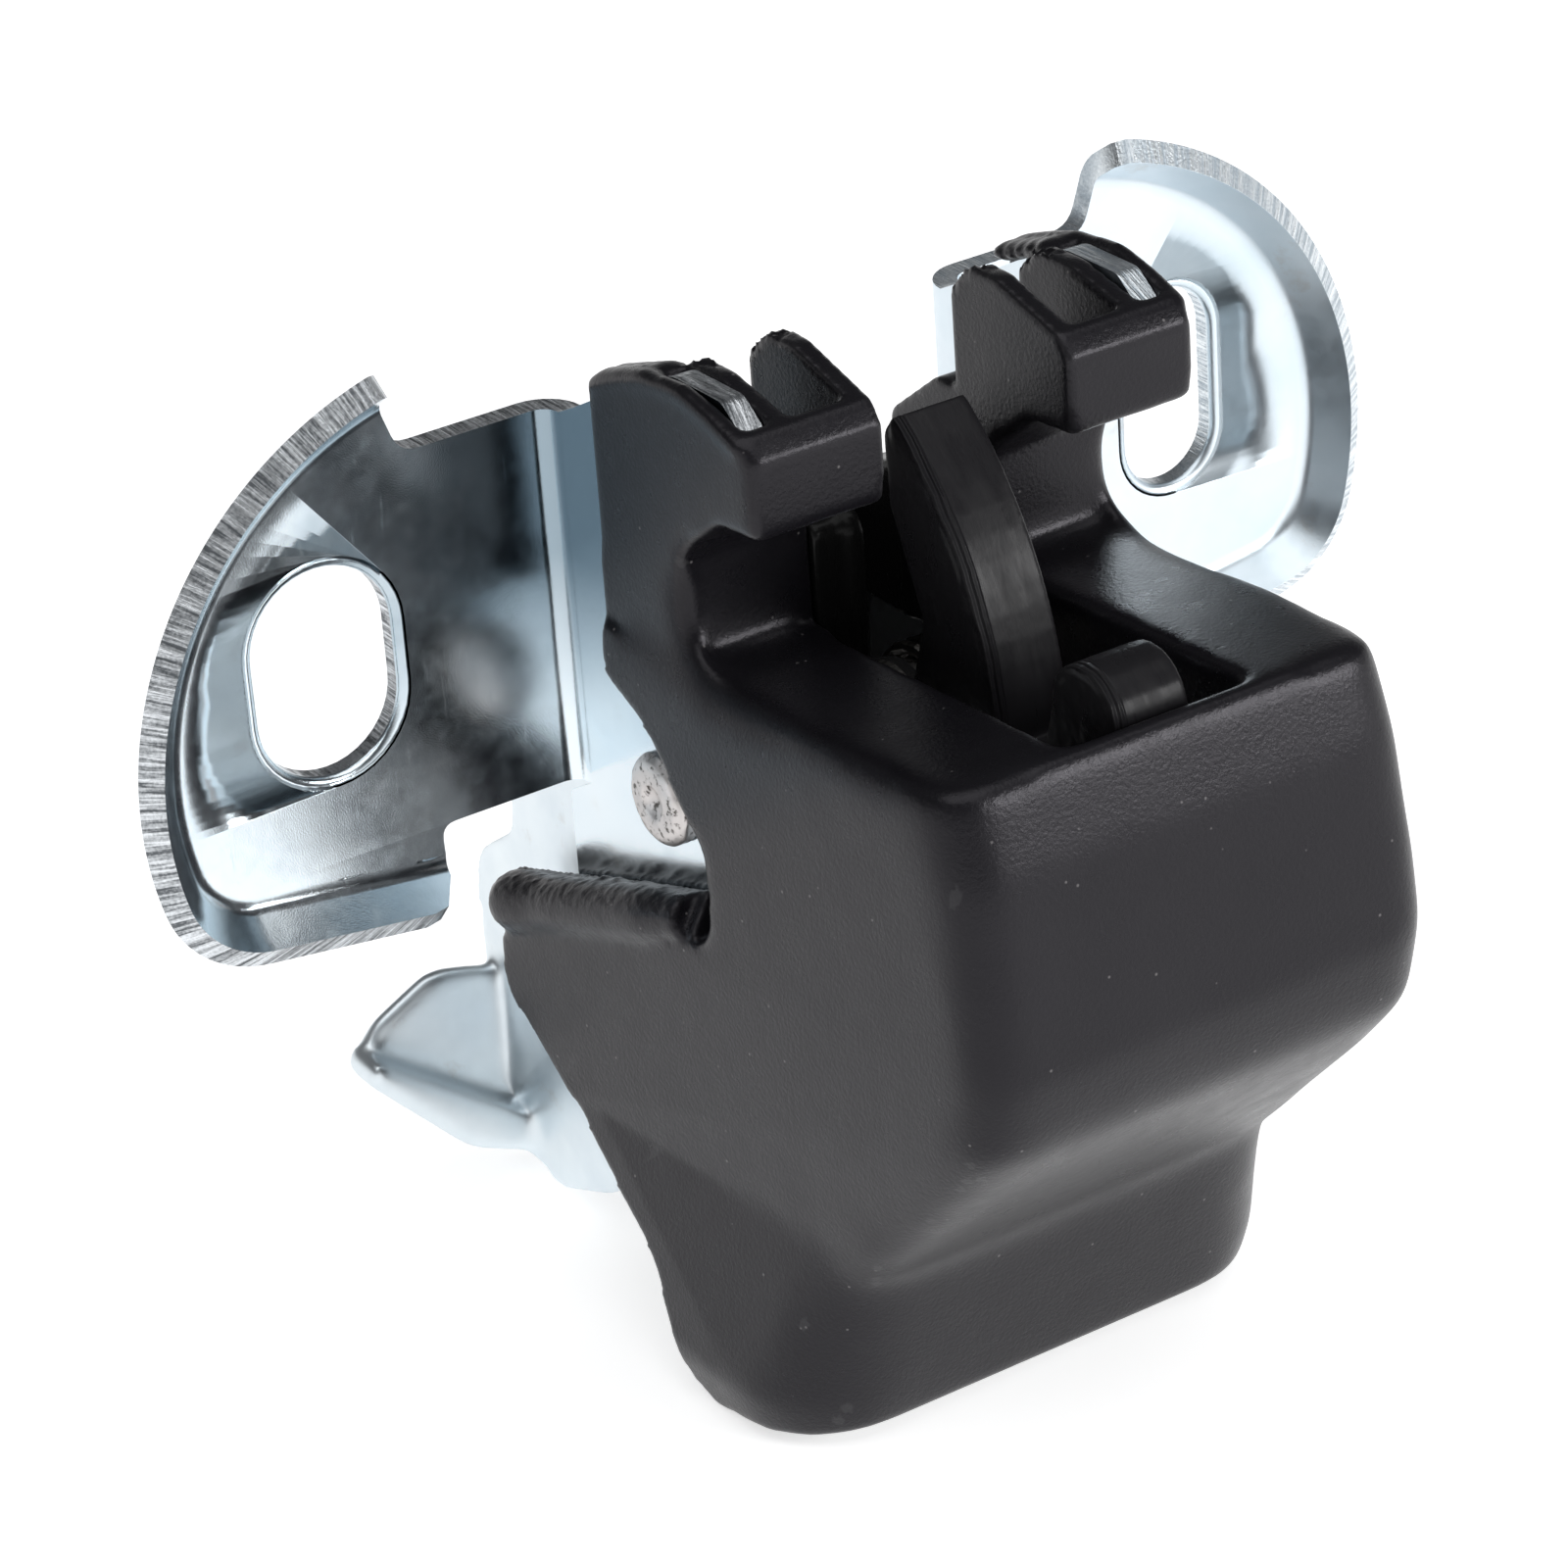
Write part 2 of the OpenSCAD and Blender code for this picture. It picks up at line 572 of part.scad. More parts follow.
// Torsion spring round an X axis through c: coil from angle a0 to a1 and x0 to x1, with straight
// end legs that leave the coil along its tangent; first and last add points beyond the legs
module torsion_spring(c, r, x0, x1, a0, a1, leg0, leg1, d, first = [], last = []) {
    n = ceil(abs(a1 - a0) / 18);
    way = sign(a1 - a0);
    pts = [for (i = [0 : n]) let(a = a0 + (a1 - a0) * i / n)
        [x0 + (x1 - x0) * i / n, c[0] + r * cos(a), c[1] + r * sin(a)]];
    start = pts[0] - way * leg0 * [0, -sin(a0), cos(a0)];
    end = pts[n] + way * leg1 * [0, -sin(a1), cos(a1)];
    color(spring_steel) wire(concat(first, [start], pts, [end], last), d);
}

// The claw's spring presses on the front of its heel and holds on to the stop pin
module claw_spring() {
    r = bush_r + claw_wire_d / 2 + 0.3;
    x0 = -claw_half_w - claw_wire_d / 2 - 0.3;
    heel = claw_c + [-3.5, -15.2];
    a0 = atan2(-15.2, -3.5) - acos(r / norm(heel - claw_c));
    pin = [stop_y, stop_z] - claw_c;
    a1 = atan2(pin[1], pin[0]) + acos((r - stop_pin_r - claw_wire_d / 2 - 0.1) / norm(pin)) - 4 * 360;
    leg = sqrt(pow(norm(heel - claw_c), 2) - r * r);
    torsion_spring(claw_c, r, x0, x0 - 3.5 * (claw_wire_d + 0.3), a0, a1, leg, 20, claw_wire_d,
        first = [[claw_half_w, heel[0], heel[1]], [x0 + 1.4, heel[0], heel[1]]]);
}

// Pawl: a steel plate in a moulded cover, resting on the claw's rim
pawl_c = [pawl_y, pawl_z];
pawl_hub_r = pawl_pin_r + 2;
tip_c = polar(claw_c, rim_r + side_gap, -30);
pawl_tail = 8.4;
tail_drop = 3.2;
pawl_skin_t = 1;

module pawl_outline(tail) {
    polygon(concat(
        arc(pawl_c, pawl_hub_r, 62, 188, 12),
        [polar(claw_c, rim_r + 0.8, -6), polar(claw_c, rim_r + 0.7, -18), tip_c, tip_c + [1.6, -2.6],
         tip_c + [5.6, -1.6], pawl_c + [3.2, -6], pawl_c + [3.6, -tail_drop], pawl_c + [tail, -tail_drop],
         pawl_c + [tail, 1]]));
}

module pawl_plate() {
    color(steel_blue) difference() {
        in_yz(-pawl_plate_t / 2, pawl_plate_t) pawl_outline(pawl_tail);
        bar(pawl_y, pawl_z, pawl_pin_r + run_fit, -10, 10);
    }
}

// Moulded skin on both faces of the pawl, joined round its tail
module pawl_cover() {
    color(black_gloss) difference() {
        union() {
            for (x = [-pawl_plate_t / 2 - pawl_skin_t, pawl_plate_t / 2])
                in_yz(x, pawl_skin_t) difference() {
                    pawl_outline(pawl_tail + pawl_skin_t);
                    translate(claw_c) circle(r = rim_r + 3.2);
                }
            translate([-pawl_plate_t / 2 - eps, pawl_y + pawl_tail + seat_gap, pawl_z - 3])
                cube([pawl_plate_t + 2 * eps, pawl_skin_t - seat_gap, 3.6]);
        }
        bar(pawl_y, pawl_z, pawl_pin_r + 0.6, -10, 10);
    }
}

module pawl_pin() {
    color(bare_steel) {
        bar(pawl_y, pawl_z, pawl_pin_r, -web_outer, web_outer);
        for (s = [0, 1]) mirror([s, 0, 0]) translate([web_outer, pawl_y, pawl_z]) rotate([0, 90, 0])
            rotate_extrude() polygon([
                [0, -eps], [rivet_head_r, 0.01], [rivet_head_r, rivet_head_h - 0.7],
                [rivet_head_r - 0.5, rivet_head_h - 0.2], [rivet_head_r - 1, rivet_head_h],
                [0, rivet_head_h]]);
    }
}

pawl_side = pawl_plate_t / 2 + pawl_skin_t + side_gap;
lever_x = -web_inner + side_gap;
spacer_r = pawl_pin_r + 1.5;
module left_pawl_spacer() {
    color(bare_steel) difference() {
        bar(pawl_y, pawl_z, spacer_r, lever_x + lever_t + side_gap, -pawl_side);
        bar(pawl_y, pawl_z, pawl_pin_r + seat_gap, -20, 0);
    }
}
module right_pawl_spacer() {
    color(bare_steel) difference() {
        bar(pawl_y, pawl_z, spacer_r, pawl_side, web_inner - seat_gap);
        bar(pawl_y, pawl_z, pawl_pin_r + seat_gap, 0, 20);
    }
}

// The pawl's spring presses on the back of its tip arm and holds on to the cross plate
module pawl_spring() {
    r = spacer_r + small_wire_d / 2 + 0.3;
    x0 = pawl_side + small_wire_d / 2 + 0.2;
    hook = pawl_c + [1.8, -10.5];
    torsion_spring(pawl_c, r, x0, x0 + 4 * (small_wire_d + 0.2), 0, 4 * 360, 6, 3, small_wire_d,
        first = [[0, hook[0], hook[1]], [x0 - 0.8, hook[0], hook[1]], [x0, hook[0] + 0.3, hook[1] + 0.8]],
        last = [[x0 + 4 * (small_wire_d + 0.2), cross_y - small_wire_d / 2 - 0.3, pawl_z + 8]]);
}

// The lever's spring presses on the lever's lug and holds on to the cross plate
module lever_spring() {
    r = spacer_r + small_wire_d / 2 + 0.3;
    x0 = lever_x + lever_t + small_wire_d / 2 + 0.3;
    lug = lug_c - pawl_c;
    a0 = atan2(lug[1], lug[0]) + acos((r - lug_r - small_wire_d / 2 - 0.25) / norm(lug));
    torsion_spring(pawl_c, r, x0, x0 + 4 * (small_wire_d + 0.05), a0, 4 * 360, 8.5, 3, small_wire_d,
        last = [[x0 + 4 * (small_wire_d + 0.05), cross_y - small_wire_d / 2 - 0.3, pawl_z + 8]]);
}

// Release lever: a cheek inside the left web, a cross lug under the pawl's tail,
// and a tab bent outward at the back with a stiffening flange along its lower edge
tab_y = 20.4;
lug_r = 2;
lug_c = pawl_c + [6.6, -tail_drop - side_gap - lug_r];
lever_bottom = -62;

module lever_outline() {
    polygon(rounded([
        [pawl_y - 6, pawl_z + 2, 4], [pawl_y + 2, pawl_z + 7, 4], [pawl_y + 14, pawl_z + 3, 6],
        [9, -17, 5], [16, -21, 2],
        [16.6, -28.6, 3], [23, -33, 5], [24.2, -41, 6], [tab_y + lever_t + 0.8, -50, 0],
        [tab_y + lever_t + 0.2, -60.6, 1.5], [14, lever_bottom, 6], [3, -57.6, 10], [-3, -44, 20],
        [-8, -30, 10], [pawl_y - 2, -22, 6]], 6));
}

module release_lever() {
    color(steel_blue) {
        difference() {
            in_yz(lever_x, lever_t) lever_outline();
            bar(pawl_y, pawl_z, lever_bush_r + seat_gap, -20, 0);
        }
        translate([lever_x, lug_c[0], lug_c[1]]) rotate([0, 90, 0])
            cylinder(r = lug_r, h = -lever_x + pawl_plate_t / 2);
        // Outward tab with a round nose, and its flange
        in_xz(tab_y, lever_t) polygon(rounded([
            [lever_x + 1, -43.6, 0], [lever_x - 2.6, -42.4, 3], [lever_x - 6.4, -41.4, 3],
            [lever_x - tab_reach + 1.4, -44.6, 3], [lever_x - tab_reach, -47, 1],
            [lever_x + 1, -58.4, 0]]));
        in_xz(tab_y - 3.2, lever_t + 3.2) polygon(rounded([
            [lever_x - tab_reach - 0.4, -45.6, 0.8], [lever_x + 1, -57, 0], [lever_x + 1, -60.6, 0],
            [lever_x - 6, -57.6, 6], [lever_x - tab_reach - 1, -48, 1]]));
    }
}

lever_bush_r = pawl_pin_r + 1;
module lever_bush() {
    color(black_gloss) difference() {
        bar(pawl_y, pawl_z, lever_bush_r, lever_x, lever_x + lever_t);
        bar(pawl_y, pawl_z, pawl_pin_r + run_fit, -20, 0);
    }
}

// Cross pin with a rubber sleeve that the claw's heel rests on when open
module stop_pin() {
    color(bare_steel) {
        bar(stop_y, stop_z, stop_pin_r, -web_inner + seat_gap, web_inner - seat_gap);
        bar(stop_y, stop_z, stop_end_r, -web_outer, web_outer);
    }
}
module stop_sleeve() {
    color(rubber_black) difference() {
        bar(stop_y, stop_z, stop_sleeve_r, -6, 6);
        bar(stop_y, stop_z, stop_pin_r + seat_gap, -10, 10);
    }
}

left_side_plate();
right_side_plate();
cross_plate();
shroud();
striker_buffer();
claw_plate();
claw_cover();
claw_pin();
left_claw_bush();
right_claw_bush();
claw_spring();
pawl_plate();
pawl_cover();
pawl_pin();
left_pawl_spacer();
right_pawl_spacer();
pawl_spring();
release_lever();
lever_bush();
lever_spring();
stop_pin();
stop_sleeve();
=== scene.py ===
import math
import random

import bmesh
import bpy
import numpy as np
from mathutils import Matrix, Vector, noise
from mathutils.geometry import tessellate_polygon


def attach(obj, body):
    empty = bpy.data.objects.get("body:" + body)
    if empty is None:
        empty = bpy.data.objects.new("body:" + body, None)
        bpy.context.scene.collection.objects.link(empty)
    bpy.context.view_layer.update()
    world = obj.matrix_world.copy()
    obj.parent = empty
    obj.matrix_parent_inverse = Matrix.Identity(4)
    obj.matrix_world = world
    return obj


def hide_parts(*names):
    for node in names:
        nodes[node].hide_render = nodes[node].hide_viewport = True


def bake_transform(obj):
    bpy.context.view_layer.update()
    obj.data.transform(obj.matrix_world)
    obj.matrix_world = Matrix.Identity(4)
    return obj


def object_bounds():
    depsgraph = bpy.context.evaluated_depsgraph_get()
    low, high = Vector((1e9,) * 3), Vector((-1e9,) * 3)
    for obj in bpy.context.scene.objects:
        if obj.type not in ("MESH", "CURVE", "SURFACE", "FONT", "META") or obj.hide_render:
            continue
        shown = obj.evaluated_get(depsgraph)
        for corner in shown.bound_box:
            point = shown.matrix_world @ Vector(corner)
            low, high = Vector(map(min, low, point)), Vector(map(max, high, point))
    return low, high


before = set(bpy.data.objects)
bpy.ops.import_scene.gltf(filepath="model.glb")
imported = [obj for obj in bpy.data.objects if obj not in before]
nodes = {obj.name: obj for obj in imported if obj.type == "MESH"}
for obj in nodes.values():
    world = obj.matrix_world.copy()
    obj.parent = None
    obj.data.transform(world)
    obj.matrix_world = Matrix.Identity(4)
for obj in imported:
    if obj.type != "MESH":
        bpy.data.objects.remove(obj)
cad_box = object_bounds()


# Side plates. Two stampings of 2 mm steel, zinc plated: an ear that bolts to the tailgate, with a
# raised rim round its edge, and a web bent forward from it that carries the pins. The press leaves
# rounded edges on the faces and a torn, ribbed band across the cut edges.
mm = 0.001
slot_x = 40.0
slot_height = 17.4
slot_roll = ((0.95, 0), (0.5, 0.07), (0.2, 0.22), (0.05, 0.42), (0, 0.62))
plate_thick = 2.0
web_face = 18.8
bend_radius = 1.6
strap_half = 16.0
strap_end = web_face + bend_radius
ear_centre = Vector((27.0, -6.0))
ear_radius = 26.2
ear_top, ear_low, ear_foot = 76.5, -15, -82.5
ear_corner = 5.0
ear_foot_x = 31.5
ear_foot_tilt = math.radians(7.5)
low_notch_x, low_notch_round = 31.6, 1.7
high_notch_x, high_notch_round = 31.9, 2.4
rim_angle = math.radians(55)
rim_run = 3.2
rim_end_round = 2.8
rim_start_round = 1.1
edge_round = 0.32
rib_circle = 26.0
pin_holes = ((-34, -16, 3.05), (-14.2, -12, 2.55), (-25.6, -33.6, 1.85))
throat_front, throat_back = -51, -24


def ray(angle):
    return Vector((math.cos(math.radians(angle)), math.sin(math.radians(angle))))


def rounded(corners, steps=5):
    """Outline through corners given as (u, v, radius)"""
    line = []
    for i, (u, v, radius) in enumerate(corners):
        here = Vector((u, v))
        before = Vector(corners[i - 1][:2]) - here
        after = Vector(corners[(i + 1) % len(corners)][:2]) - here
        if radius <= 0:
            line.append(here)
            continue
        half = before.angle(after) / 2
        reach = min(radius / math.tan(half), 0.49 * before.length, 0.49 * after.length)
        start = here + before.normalized() * reach
        end = here + after.normalized() * reach
        for k in range(steps + 1):
            t = k / steps
            line.append(start * (1 - t) ** 2 + here * 2 * t * (1 - t) + end * t * t)
    return line


def thick_sheet(name, front, away, faces, thickness):
    """Closed sheet from its front points, the direction of its back at each, and the front faces"""
    count = len(front)
    back = [p + d * thickness for p, d in zip(front, away)]
    edges = {}
    for face in faces:
        for a, b in zip(face, face[1:] + face[:1]):
            edges[(a, b)] = edges.get((a, b), 0) + 1
    rim = [(a, b) for a, b in edges if (b, a) not in edges]
    solid = [list(f) for f in faces] + [[i + count for i in reversed(f)] for f in faces]
    cut = [[b, a, a + count, b + count] for a, b in rim]
    mesh = bpy.data.meshes.new(name)
    mesh.from_pydata([tuple(p * mm) for p in list(front) + back], [], solid + cut)
    mesh.polygons.foreach_set("material_index", [0] * len(solid) + [1] * len(cut))
    mesh.update()
    piece = bpy.data.objects.new(name, mesh)
    bpy.context.collection.objects.link(piece)
    return piece


def round_edges(piece, width):
    bevel = piece.modifiers.new("edges", "BEVEL")
    bevel.width = width * mm
    bevel.segments = 3
    bevel.limit_method = "ANGLE"
    bevel.angle_limit = math.radians(50)
    bevel.loop_slide = False
    bevel.harden_normals = True
    piece.data.shade_smooth()


def web_outline():
    """Web seen from the side as (y, z, radius): skirt, way in below the throat, throat, horn and strap"""
    def throat_floor(y):
        return 3.6 - (y - throat_front) * 2 / (throat_back - throat_front)

    return rounded([
        (-bend_radius, -strap_half, 0), (1.8, -18, 1), (1.8, -28, 4), (-12, -37.5, 7), (-32, -37.5, 7),
        (-47, -24, 6), (-47, throat_floor(-47) - 2.6, 4), (-27, throat_floor(-27) - 2.1, 0),
        (-17.1, throat_floor(-19.7) - 2.1, 0.7), (-17.1, 13.8, 0.7), (-21.4, 13.8, 0), (-28.2, 16.9, 1.5),
        (-28.2, 22.8, 1.2), (-25.5, 24.8, 1.5), (-19, 24.7, 3), (-12.5, 21.8, 3), (-4, 17.2, 4),
        (-bend_radius, strap_half, 0)])


def side_plate(name, side, slot_width):
    """The plate is drawn for the right side and mirrored for the left"""
    # Crease of the ear, from the top end round to the bottom end
    crease = [(ear_centre + ear_radius * ray(a), ray(a)) for a in np.linspace(ear_top, ear_low, 61)]
    centre = ear_centre + (ear_radius - ear_corner) * ray(ear_low)
    crease += [(centre + ear_corner * ray(a), ray(a)) for a in np.linspace(ear_low, ear_foot, 19)[1:]]
    last, down = crease[-1]
    length = (last.x - ear_foot_x) / math.cos(ear_foot_tilt)
    along = Vector((-math.cos(ear_foot_tilt), -math.sin(ear_foot_tilt)))
    crease += [(last + along * length * t, down) for t in np.linspace(0, 1, 13)[1:]]
    top, foot = crease[0][0], crease[-1][0]
    low_notch = rounded([(foot.x, foot.y, 0), (low_notch_x, -strap_half, low_notch_round),
                         (strap_end, -strap_half, 0)])
    high_notch = rounded([(strap_end, strap_half, 0), (high_notch_x, strap_half, high_notch_round),
                          (top.x, top.y, 0)])
    flat = [p for p, d in crease] + low_notch[1:] + high_notch[:-1]
    corner_low = len(crease) + len(low_notch) - 2

    # Slot with its edge rolled over by the punch, and the flat face round it
    rings = []
    for away_by, sunk in slot_roll:
        radius = slot_width / 2 + away_by
        half = (slot_height - slot_width) / 2
        rings.append([(Vector((slot_x, half * s)) + radius * ray(a), sunk)
                      for s, a0 in ((1, 0), (-1, 180)) for a in np.linspace(a0, a0 + 180, 21)])
    both = flat + [p for p, sunk in rings[0]]
    faces = []
    for a, b, c in tessellate_polygon([[p.to_3d() for p in flat], [p.to_3d() for p, sunk in rings[0]]]):
        turn = (both[b] - both[a]).cross(both[c] - both[a])
        faces.append([a, b, c] if turn > 0 else [a, c, b])
    around = len(rings[0])
    for k in range(len(rings) - 1):
        first = len(flat) + k * around
        for i in range(around):
            j = (i + 1) % around
            faces.append([first + j, first + i, first + around + i, first + around + j])
    spots = [(p, 0) for p in flat] + [spot for ring in rings for spot in ring]
    front = [Vector((p.x, sunk, p.y)) for p, sunk in spots]
    away = [Vector((0, 1 - sunk / plate_thick, 0)) for p, sunk in spots]

    # Raised rim: a bend of 55 degrees, then a short run that is rounded off at its lower end
    total = sum((crease[i + 1][0] - crease[i][0]).length for i in range(len(crease) - 1))
    way, rows = 0, []
    for i, (point, out) in enumerate(crease):
        way += (crease[i][0] - crease[i - 1][0]).length if i else 0
        left = max(0, total - way)
        run = rim_run * (math.sqrt(1 - (1 - left / rim_end_round) ** 2) if left < rim_end_round else 1)
        run -= rim_start_round * (1 - math.sqrt(1 - max(0, 1 - way / rim_start_round) ** 2))
        row = []
        for a in np.linspace(0, rim_angle, 7):
            reach = bend_radius * math.sin(a)
            row.append((reach, -bend_radius + bend_radius * math.cos(a), a))
        row.append((row[-1][0] + max(run, 0.15) * math.cos(rim_angle),
                    row[-1][1] - max(run, 0.15) * math.sin(rim_angle), rim_angle))
        rows.append([(Vector((point.x + out.x * u, y, point.y + out.y * u)),
                      Vector((out.x * math.sin(a), math.cos(a), out.y * math.sin(a)))) for u, y, a in row])
    base = len(front)
    wide = len(rows[0]) - 1
    for row in rows:
        front.extend(p for p, d in row[1:])
        away.extend(d for p, d in row[1:])

    def at(i, k):
        return i if k == 0 else base + i * wide + k - 1

    for i in range(len(rows) - 1):
        for k in range(wide):
            faces.append([at(i, k), at(i + 1, k), at(i + 1, k + 1), at(i, k + 1)])

    # Bend into the web, and the web with its pin holes
    low, high = corner_low, corner_low + 1
    for a in np.linspace(90, 180, 9)[1:]:
        x, y = strap_end + bend_radius * ray(a).x, -bend_radius + bend_radius * ray(a).y
        back = Vector((ray(a).x, ray(a).y, 0))
        base = len(front)
        front.extend([Vector((x, y, -strap_half)), Vector((x, y, strap_half))])
        away.extend([back, back])
        faces.append([low, high, base + 1, base])
        low, high = base, base + 1
    outline = web_outline()[1:-1]
    holes = [[Vector((y, z)) + r * ray(a) for a in np.linspace(0, 360, 25)[:-1]]
             for y, z, r in pin_holes]
    base = len(front)
    corners = [Vector((-bend_radius, -strap_half))] + outline + [Vector((-bend_radius, strap_half))]
    flat_web = corners + [p for hole in holes for p in hole]
    triangles = tessellate_polygon([[p.to_3d() for p in loop] for loop in [corners] + holes])
    index = [low] + [base + i for i in range(len(outline))] + [high]
    index += [base + len(outline) + i for i in range(len(flat_web) - len(corners))]
    front.extend(Vector((web_face, p.x, p.y)) for p in outline + flat_web[len(corners):])
    away.extend([Vector((-1, 0, 0))] * (len(flat_web) - 2))
    for a, b, c in triangles:
        turn = (flat_web[b] - flat_web[a]).cross(flat_web[c] - flat_web[a])
        faces.append([index[i] for i in ([a, b, c] if turn > 0 else [a, c, b])])

    if side < 0:
        for i in range(len(front)):
            front[i] = Vector((-front[i].x, front[i].y, front[i].z))
            away[i] = Vector((-away[i].x, away[i].y, away[i].z))
        faces = [list(reversed(f)) for f in faces]
    piece = thick_sheet(name, front, away, faces, plate_thick)
    round_edges(piece, edge_round)
    return piece


def new_finish(name):
    finish = bpy.data.materials.new(name)
    finish.use_nodes = True
    tree = finish.node_tree
    return finish, tree, tree.nodes["Principled BSDF"]


def put(tree, kind, out=0, settings=None, **values):
    """Adds a shader node, sets or links its inputs, and gives back one of its outputs"""
    made = tree.nodes.new("ShaderNode" + kind)
    for key, value in (settings or {}).items():
        setattr(made, key, value)
    for key, value in values.items():
        numbered = key.startswith("in") and key[2:].isdigit()
        socket = made.inputs[int(key[2:]) if numbered else key.replace("_", " ")]
        if isinstance(value, bpy.types.NodeSocket):
            tree.links.new(value, socket)
        else:
            socket.default_value = value
    return made.outputs[out]


def place(tree):
    return put(tree, "TexCoord", "Object")


def grain(tree, where, scale, detail, rough):
    """Noise of so many lumps per millimetre"""
    return put(tree, "TexNoise", "Fac", Vector=where, Scale=scale / mm, Detail=detail, Roughness=rough)


def stretched(tree, where, scale):
    return put(tree, "Mapping", "Vector", {"vector_type": "POINT"}, Vector=where, Scale=scale)


def ramp(tree, value, low, high, out_low=0.0, out_high=1.0):
    return put(tree, "MapRange", "Result", {"clamp": True}, Value=value, From_Min=low, From_Max=high,
               To_Min=out_low, To_Max=out_high)


def mixed(tree, share, first, second):
    made = tree.nodes.new("ShaderNodeMix")
    made.data_type = "RGBA"
    for socket, value in ((made.inputs[0], share), (made.inputs[6], first), (made.inputs[7], second)):
        if isinstance(value, bpy.types.NodeSocket):
            tree.links.new(value, socket)
        else:
            socket.default_value = value
    return made.outputs[2]


def sums(tree, kind, first, second=0.0):
    return put(tree, "Math", 0, {"operation": kind}, in0=first, in1=second)


def relief(tree, height, depth, strength=1.0, under=None):
    """Bump of so many millimetres"""
    made = tree.nodes.new("ShaderNodeBump")
    made.inputs["Distance"].default_value = depth * mm
    made.inputs["Strength"].default_value = strength
    tree.links.new(height, made.inputs["Height"])
    if under is not None:
        tree.links.new(under, made.inputs["Normal"])
    return made.outputs["Normal"]


def connect(tree, shader, **sockets):
    for key, value in sockets.items():
        socket = shader.inputs[key.replace("_", " ")]
        if isinstance(value, bpy.types.NodeSocket):
            tree.links.new(value, socket)
        else:
            socket.default_value = value


def zinc_finish(name, pale, deep, low_rough, high_rough, painted_dark_reflection=None):
    """Bright zinc plating: pale blue steel with cloudy passivation, fine sand-like grain and scratches.
    painted_dark_reflection gives the colour of a painted dark reflection laid over the plating, and the
    places along X, in mm, where it is full and where it has faded"""
    finish, tree, shader = new_finish(name)
    where = place(tree)
    clouds = grain(tree, where, 0.07, 4, 0.6)
    colour = mixed(tree, ramp(tree, clouds, 0.35, 0.7), pale, deep)
    stains = ramp(tree, grain(tree, where, 0.16, 5, 0.65), 0.62, 0.78)
    colour = mixed(tree, sums(tree, "MULTIPLY", stains, 0.35), colour, (0.42, 0.33, 0.24, 1))
    # Painted reflection: a dark tone in the base colour stands in for the dark reflection near the strap;
    # it fades along X and towards the bottom.
    if painted_dark_reflection:
        painted_reflection_colour, full, none = painted_dark_reflection
        way = sums(tree, "ADD", put(tree, "SeparateXYZ", "X", Vector=where),
                   sums(tree, "MULTIPLY", sums(tree, "SUBTRACT", clouds, 0.5), 30 * mm))
        upper = ramp(tree, put(tree, "SeparateXYZ", "Z", Vector=where), -11 * mm, 4 * mm, 0.08, 1.0)
        share = sums(tree, "MULTIPLY", ramp(tree, way, none * mm, full * mm), upper)
        colour = mixed(tree, share, colour, painted_reflection_colour)
    sand = grain(tree, where, 7.0, 2, 0.6)
    scratch = grain(tree, stretched(tree, where, (1.0, 1.0, 0.06)), 2.2, 2, 0.5)
    marks = ramp(tree, scratch, 0.66, 0.72)
    rough = sums(tree, "ADD", ramp(tree, grain(tree, where, 0.5, 4, 0.6), 0.3, 0.7, low_rough, high_rough),
                 sums(tree, "MULTIPLY", marks, 0.05))
    normal = relief(tree, sand, 0.0075, 0.8)
    normal = relief(tree, grain(tree, where, 0.16, 2, 0.5), 0.03, 0.6, normal)
    connect(tree, shader, Base_Color=colour, Metallic=1.0, Roughness=rough, Normal=normal)
    return finish


def sheared_finish(name, centre_x, dark, bright):
    """Cut edge of a stamping: ribs across the edge, bright where rubbed and dark between"""
    finish, tree, shader = new_finish(name)
    where = place(tree)
    parts = put(tree, "SeparateXYZ", "X", Vector=where).node.outputs
    across = sums(tree, "SUBTRACT", parts["X"], centre_x * mm)
    height = sums(tree, "ADD", parts["Z"], -ear_centre.y * mm)
    angle = sums(tree, "ARCTAN2", height, across)
    line = put(tree, "CombineXYZ", 0, X=sums(tree, "MULTIPLY", angle, rib_circle * mm),
               Y=sums(tree, "MULTIPLY", parts["Y"], 0.08), Z=0.0)
    ribs = grain(tree, line, 3.2, 3, 0.6)
    fine = grain(tree, where, 4.0, 2, 0.5)
    both = sums(tree, "ADD", sums(tree, "MULTIPLY", ribs, 0.8), sums(tree, "MULTIPLY", fine, 0.2))
    colour = mixed(tree, ramp(tree, both, 0.40, 0.60), dark, bright)
    rough = ramp(tree, ribs, 0.3, 0.7, 0.5, 0.24)
    connect(tree, shader, Base_Color=colour, Metallic=1.0, Roughness=rough,
            Normal=relief(tree, both, 0.16, 1.0))
    return finish


# The left plate's zinc carries a painted dark reflection near its strap.
left_zinc = zinc_finish("left_zinc_plating_painted_reflection", (0.80, 0.87, 0.91, 1), (0.70, 0.79, 0.85, 1), 0.13, 0.22,
                        ((0.27, 0.34, 0.39, 1), -26, -43))
right_zinc = zinc_finish("right_zinc_plating", (0.74, 0.81, 0.86, 1), (0.64, 0.74, 0.80, 1), 0.28, 0.38)
# Tones of the sheared band, dark then bright. The right plate's band is paler than the left's: painted
# light for the side that faces the light.
torn_steel = ((0.12, 0.13, 0.14, 1), (0.74, 0.77, 0.80, 1))
painted_lit_sheared_steel = ((0.42, 0.48, 0.53, 1), (0.84, 0.89, 0.92, 1))
for name, side, width, zinc, tones in (("left_side_plate", -1, 12.2, left_zinc, torn_steel),
                                       ("right_side_plate", 1, 8.8, right_zinc, painted_lit_sheared_steel)):
    plate = side_plate(name + "_pressing", side, width)
    plate.data.materials.append(zinc)
    plate.data.materials.append(sheared_finish(name + "_sheared_edge", ear_centre.x * side, *tones))
    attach(plate, "frame")
    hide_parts(name)


